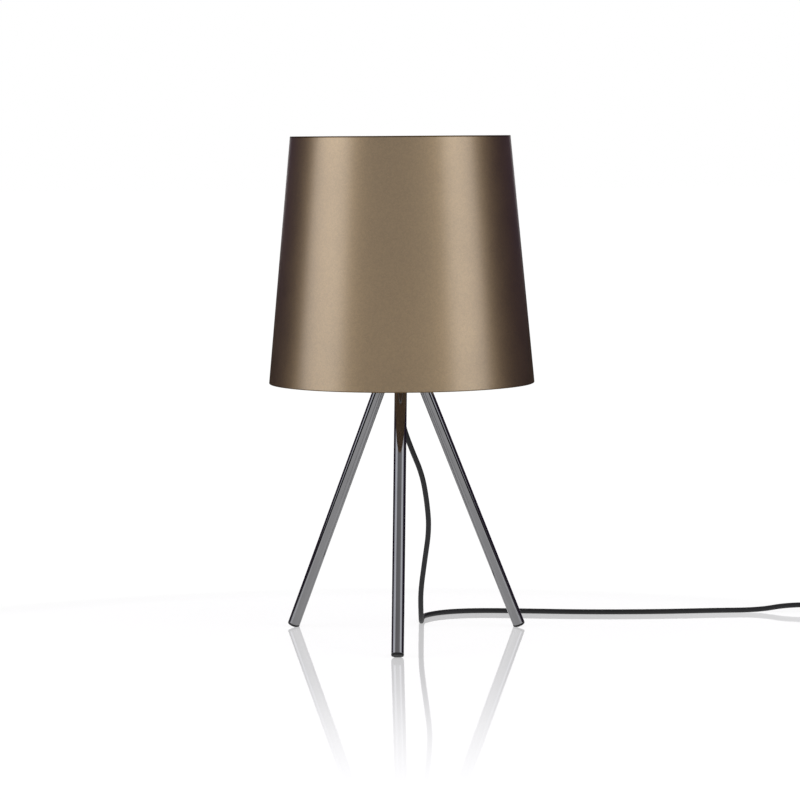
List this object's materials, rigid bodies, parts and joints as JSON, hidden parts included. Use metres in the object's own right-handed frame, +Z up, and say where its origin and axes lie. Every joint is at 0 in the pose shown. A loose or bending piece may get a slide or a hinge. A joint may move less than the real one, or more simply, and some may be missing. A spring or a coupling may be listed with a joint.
{
  "type": "tripod table lamp",
  "caption": "Table lamp: tapered metal shade on a tripod of slim splayed tubes, screw bulb, lead with rocker switch and mains plug.",
  "frame": {"origin": "on the floor under the lamp's axis, midway between the three feet", "axes": "+Z up along the shade's axis; the front leg points along -Y, the other two at 120 degrees to it; the lead runs off towards +X"},
  "size_m": [0.8049, 0.3586, 0.5681],
  "materials": {
    "shade_bronze": "satin metallic bronze paint with fine flake, in and outside",
    "black_nickel": "polished black nickel plating",
    "black_rubber": "matte black rubber",
    "black_plastic": "satin black moulded plastic",
    "cord_black": "matte black cord sheath",
    "zinc_steel": "zinc plated steel",
    "brass": "bare brass",
    "ceramic": "glazed white ceramic",
    "bulb_glass": "clear glass",
    "bulb_metal": "thin rolled aluminium",
    "black_glass": "black glass insulator",
    "filament": "yellow phosphor coating",
    "wire_brown": "brown wire insulation",
    "wire_blue": "blue wire insulation",
    "tie_black": "black strap"
  },
  "bodies": {
    "lamp": {"hub": "black_nickel", "leg_front": "black_nickel", "leg_right": "black_nickel", "leg_left": "black_nickel", "hub_nipple": "zinc_steel", "hub_nut": "zinc_steel", "hub_washer": "zinc_steel", "leg_grub_screws": "zinc_steel", "switch_screws": "zinc_steel", "switch_rocker_pin": "zinc_steel", "shade_spokes": "zinc_steel", "shade_hoop": "zinc_steel", "carrier_ring": "zinc_steel", "leg_plug_front": "black_plastic", "leg_plug_right": "black_plastic", "leg_plug_left": "black_plastic", "cord_gland": "black_plastic", "holder_cap": "black_plastic", "holder_sleeve": "black_plastic", "ring_nut_lower": "black_plastic", "ring_nut_upper": "black_plastic", "switch_base": "black_plastic", "switch_cover": "black_plastic", "plug_body": "black_plastic", "foot_tip_front": "black_rubber", "foot_tip_right": "black_rubber", "foot_tip_left": "black_rubber", "strain_relief": "black_rubber", "switch_boot_lamp": "black_rubber", "switch_boot_plug": "black_rubber", "plug_boot": "black_rubber", "cord_inner": "cord_black", "cord_lead": "cord_black", "cord_loop": "cord_black", "cord_coil": "cord_black", "cord_tail": "cord_black", "wire_live": "wire_brown", "wire_neutral": "wire_blue", "holder_insert": "ceramic", "holder_screw_shell": "brass", "holder_centre_contact": "brass", "holder_side_strip": "brass", "holder_terminal_screws": "brass", "switch_terminals": "brass", "plug_pins": "brass", "shade": "shade_bronze", "cord_tie": "tie_black"},
    "bulb_carriage": {"bulb_contact": "brass"},
    "bulb": {"bulb_insulator": "black_glass", "bulb_cap": "bulb_metal", "bulb_globe": "bulb_glass", "bulb_stem": "bulb_glass", "bulb_filaments": "filament"},
    "rocker": {"switch_rocker": "black_plastic"}
  },
  "joints": [
    {"name": "bulb_travel", "type": "slide", "parent": "lamp", "child": "bulb_carriage", "axis": [0, 0, 1], "range_m": [0, 0.01815]},
    {"name": "bulb_turn", "type": "hinge", "parent": "bulb_carriage", "child": "bulb", "pos_m": [0, 0, 0.3516], "axis": [0, 0, 1], "range_deg": [0, 1800]},
    {"name": "switch_rock", "type": "hinge", "parent": "lamp", "child": "rocker", "pos_m": [0.535, 0.187, 0.016], "axis": [0, 1, 0], "range_deg": [0, 16]}
  ],
  "couplings": [
    {"joint": "bulb_travel", "follows": "bulb_turn", "m_per_rad": 0.00057773}
  ]
}
